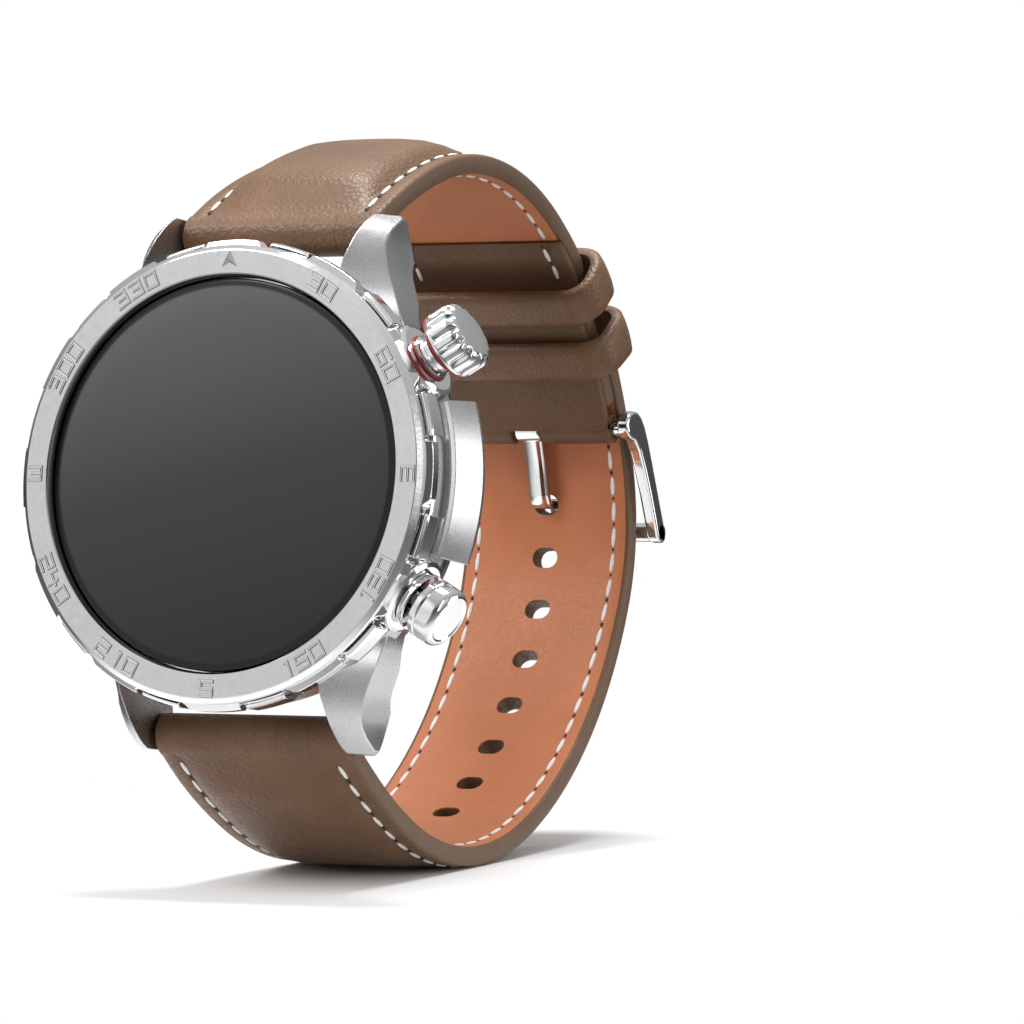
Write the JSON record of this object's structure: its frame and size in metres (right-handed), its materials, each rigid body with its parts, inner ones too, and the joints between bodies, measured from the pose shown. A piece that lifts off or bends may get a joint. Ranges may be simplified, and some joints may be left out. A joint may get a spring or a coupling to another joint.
{
  "type": "round smartwatch",
  "caption": "Round smartwatch with a compass bezel, push crown, side button and a stitched leather strap closed by a pin buckle.",
  "frame": {"origin": "bottom centre of the object's box, standing on the lower strap's padding", "axes": "-Y out of the dial, +Z towards 12 o'clock, +X towards 3 o'clock and the crown side"},
  "size_m": [0.0494, 0.0742, 0.075],
  "materials": {
    "case": "satin, brushed and polished",
    "bezel": "satin brushed face, polished edges",
    "cover_glass": "glossy, black printed from behind",
    "seal": "matte",
    "display": "glossy",
    "flex": "satin",
    "chassis": "matte",
    "battery": "satin",
    "board": "satin",
    "steel": "satin",
    "copper": "satin",
    "back": "satin",
    "sensor_window": "glossy",
    "gold": "polished",
    "chrome": "polished",
    "red": "glossy",
    "magnet": "satin",
    "chip": "matte",
    "leather": "soft grain, satin",
    "lining": "smooth, matte",
    "padding": "matte",
    "thread": "matte"
  },
  "bodies": {
    "watch": {"case_frame": "case", "bezel_ring": "bezel", "cover_glass": "cover_glass", "glass_gasket": "seal", "display_panel": "display", "display_flex": "flex", "inner_chassis": "chassis", "battery": "battery", "main_board": "board", "shield_can": "steel", "vibration_motor": "steel", "antenna_strip": "copper", "heart_rate_module": "board", "back_gasket": "seal", "back_cover": "back", "sensor_window": "sensor_window", "charging_contacts": "gold", "back_screws": "steel", "crown_collar": "chrome", "crown_collar_ring": "red", "crown_sensor": "chip", "crown_bracket": "steel", "crown_switch": "chip", "button_collar": "chrome", "button_bracket": "steel", "button_switch": "chip", "upper_bar_tube": "steel", "upper_bar_spring": "steel", "lower_bar_tube": "steel", "lower_bar_spring": "steel", "upper_leather": "leather", "upper_lining": "lining", "upper_padding": "padding", "buckle_flap": "leather", "upper_stitching": "thread", "lower_leather": "leather", "lower_lining": "lining", "lower_padding": "padding", "lower_stitching": "thread", "fixed_keeper": "leather", "buckle_bar": "steel"},
    "crown_pusher": {"crown_push_plate": "steel"},
    "crown": {"crown_knob": "chrome", "crown_knob_ring": "red", "crown_stem": "steel", "crown_oring": "seal", "crown_magnet": "magnet"},
    "button": {"button_cap": "chrome", "button_stem": "steel", "button_oring": "seal", "button_clip": "steel"},
    "upper_release": {"upper_release_pin": "steel"},
    "lower_release": {"lower_release_pin": "steel"},
    "keeper_loop": {"free_keeper": "leather"},
    "buckle": {"buckle_frame": "chrome"},
    "prong": {"buckle_prong": "chrome"}
  },
  "joints": [
    {"name": "crown_press", "type": "slide", "parent": "watch", "child": "crown_pusher", "axis": [-0.866, 0, -0.5], "range_m": [0, 0.0004], "stiffness_N_per_m": 4000},
    {"name": "crown_spin", "type": "hinge", "parent": "crown_pusher", "child": "crown", "pos_m": [-0.00154, -0.0325, 0.03748], "axis": [0.866, 0, 0.5], "continuous": true},
    {"name": "button_press", "type": "slide", "parent": "watch", "child": "button", "axis": [-0.866, 0, 0.5], "range_m": [0, 0.0004], "stiffness_N_per_m": 4000},
    {"name": "upper_release", "type": "slide", "parent": "watch", "child": "upper_release", "axis": [-1, 0, 0], "range_m": [0, 0.0015], "stiffness_N_per_m": 800},
    {"name": "lower_release", "type": "slide", "parent": "watch", "child": "lower_release", "axis": [-1, 0, 0], "range_m": [0, 0.0015], "stiffness_N_per_m": 800},
    {"name": "keeper_shift", "type": "hinge", "parent": "watch", "child": "keeper_loop", "pos_m": [-0.00154, -0.00845, 0.03188], "axis": [1, 0, 0], "range_deg": [-3.5, 2.5]},
    {"name": "buckle_swing", "type": "hinge", "parent": "watch", "child": "buckle", "pos_m": [-0.00154, 0.02788, 0.04921], "axis": [1, 0, 0], "range_deg": [-0.7, 3]},
    {"name": "prong_swing", "type": "hinge", "parent": "watch", "child": "prong", "pos_m": [-0.00154, 0.02788, 0.04921], "axis": [1, 0, 0], "range_deg": [-0.7, 3]}
  ],
  "couplings": [
    {"joint": "prong_swing", "follows": "buckle_swing", "ratio": 1}
  ]
}
